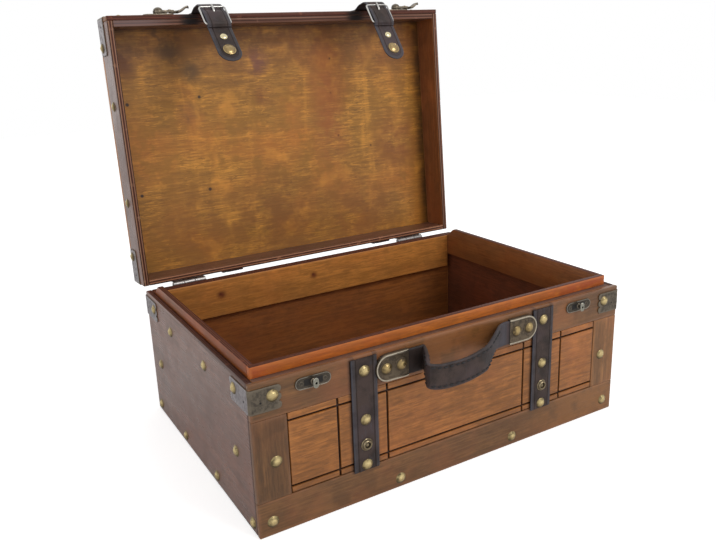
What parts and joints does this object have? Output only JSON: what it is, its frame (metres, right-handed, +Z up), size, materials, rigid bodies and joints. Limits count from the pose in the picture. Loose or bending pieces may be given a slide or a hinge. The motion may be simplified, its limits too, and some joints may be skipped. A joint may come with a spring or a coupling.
{
  "type": "storage trunk",
  "caption": "Wooden storage trunk with a hinged lid, leather straps with buckled snap tabs, swing latches, corner brackets, dome nails and a front carrying handle.",
  "frame": {"origin": "centre of the body's underside, on the surface it stands on", "axes": "+Z up, -Y towards the front with the handle and latches, +X to the right seen from the front"},
  "size_m": [0.3948, 0.3643, 0.4088],
  "materials": {
    "panel_wood": "warm orange-brown stained board, satin",
    "frame_wood": "olive-brown stained board, satin",
    "side_wood": "dark mauve-brown stained plywood, satin",
    "lip_wood": "reddish orange varnished board, satin",
    "inner_ply": "golden brown plywood with grain and knots",
    "rim_wood": "dark reddish brown board edges",
    "strap_leather": "charcoal brown leather, matte",
    "handle_leather": "charcoal leather, stitched, matte",
    "nail_brass": "antique brass, hammered",
    "plate_brass": "aged brass, dark with a lighter border",
    "dark_metal": "antique gunmetal, worn",
    "bright_steel": "bright, softly polished",
    "hinge_steel": "dull grey"
  },
  "bodies": {
    "trunk_body": {"bottom_panel": "inner_ply", "left_wall": "side_wood", "right_wall": "side_wood", "back_wall": "side_wood", "front_backing": "rim_wood", "top_rail": "frame_wood", "bottom_rail": "frame_wood", "left_stile": "frame_wood", "right_stile": "frame_wood", "front_panel": "panel_wood", "front_liner": "lip_wood", "left_liner": "lip_wood", "right_liner": "lip_wood", "back_liner": "inner_ply", "front_straps": "strap_leather", "back_straps": "strap_leather", "strap_nails": "nail_brass", "snap_studs": "bright_steel", "corner_brackets": "dark_metal", "body_nails": "nail_brass", "catch_plates": "dark_metal", "catch_pins": "bright_steel", "handle_plates": "plate_brass", "handle_nails": "nail_brass", "handle_left_end": "handle_leather", "handle_right_end": "handle_leather", "body_hinge_leaves": "hinge_steel", "hinge_pins": "hinge_steel"},
    "lid": {"lid_top_panel": "inner_ply", "lid_front_rail": "frame_wood", "lid_front_board": "rim_wood", "lid_back_board": "rim_wood", "lid_left_board": "rim_wood", "lid_right_board": "rim_wood", "lid_straps": "strap_leather", "lid_strap_nails": "nail_brass", "lid_brackets": "dark_metal", "lid_nails": "nail_brass", "lid_hinge_leaves": "hinge_steel", "latch_plates": "dark_metal", "latch_rivets": "dark_metal"},
    "left_hook": {"left_latch_hook": "dark_metal"},
    "right_hook": {"right_latch_hook": "dark_metal"},
    "left_strap_tab": {"left_tab": "strap_leather", "left_buckle": "bright_steel", "left_prong": "bright_steel", "left_snap": "nail_brass", "left_tab_rivet": "bright_steel"},
    "right_strap_tab": {"right_tab": "strap_leather", "right_buckle": "bright_steel", "right_prong": "bright_steel", "right_snap": "nail_brass", "right_tab_rivet": "bright_steel"},
    "handle": {"handle_grip": "handle_leather"}
  },
  "joints": [
    {"name": "lid_hinge", "type": "hinge", "parent": "trunk_body", "child": "lid", "pos_m": [0, 0.137, 0.1304], "axis": [1, 0, 0], "range_deg": [0, 94.5]},
    {"name": "left_tab_bend", "type": "hinge", "parent": "lid", "child": "left_strap_tab", "pos_m": [-0.096, 0.14131, 0.40691], "axis": [1, 0, 0], "range_deg": [-50, 0]},
    {"name": "right_tab_bend", "type": "hinge", "parent": "lid", "child": "right_strap_tab", "pos_m": [0.096, 0.14131, 0.40691], "axis": [1, 0, 0], "range_deg": [-58, 0]},
    {"name": "left_hook_swing", "type": "hinge", "parent": "lid", "child": "left_hook", "pos_m": [-0.141, 0.16709, 0.40308], "axis": [0, -0.0785, -0.9969], "range_deg": [0, 90]},
    {"name": "right_hook_swing", "type": "hinge", "parent": "lid", "child": "right_hook", "pos_m": [0.141, 0.16709, 0.40308], "axis": [0, -0.0785, -0.9969], "range_deg": [0, 90]},
    {"name": "handle_lift", "type": "hinge", "parent": "trunk_body", "child": "handle", "pos_m": [0, -0.135, 0.1155], "axis": [-1, 0, 0], "range_deg": [0, 30]}
  ],
  "couplings": [
    {"joint": "left_tab_bend", "follows": "lid_hinge", "ratio": -0.5291},
    {"joint": "right_tab_bend", "follows": "lid_hinge", "ratio": -0.61376}
  ]
}
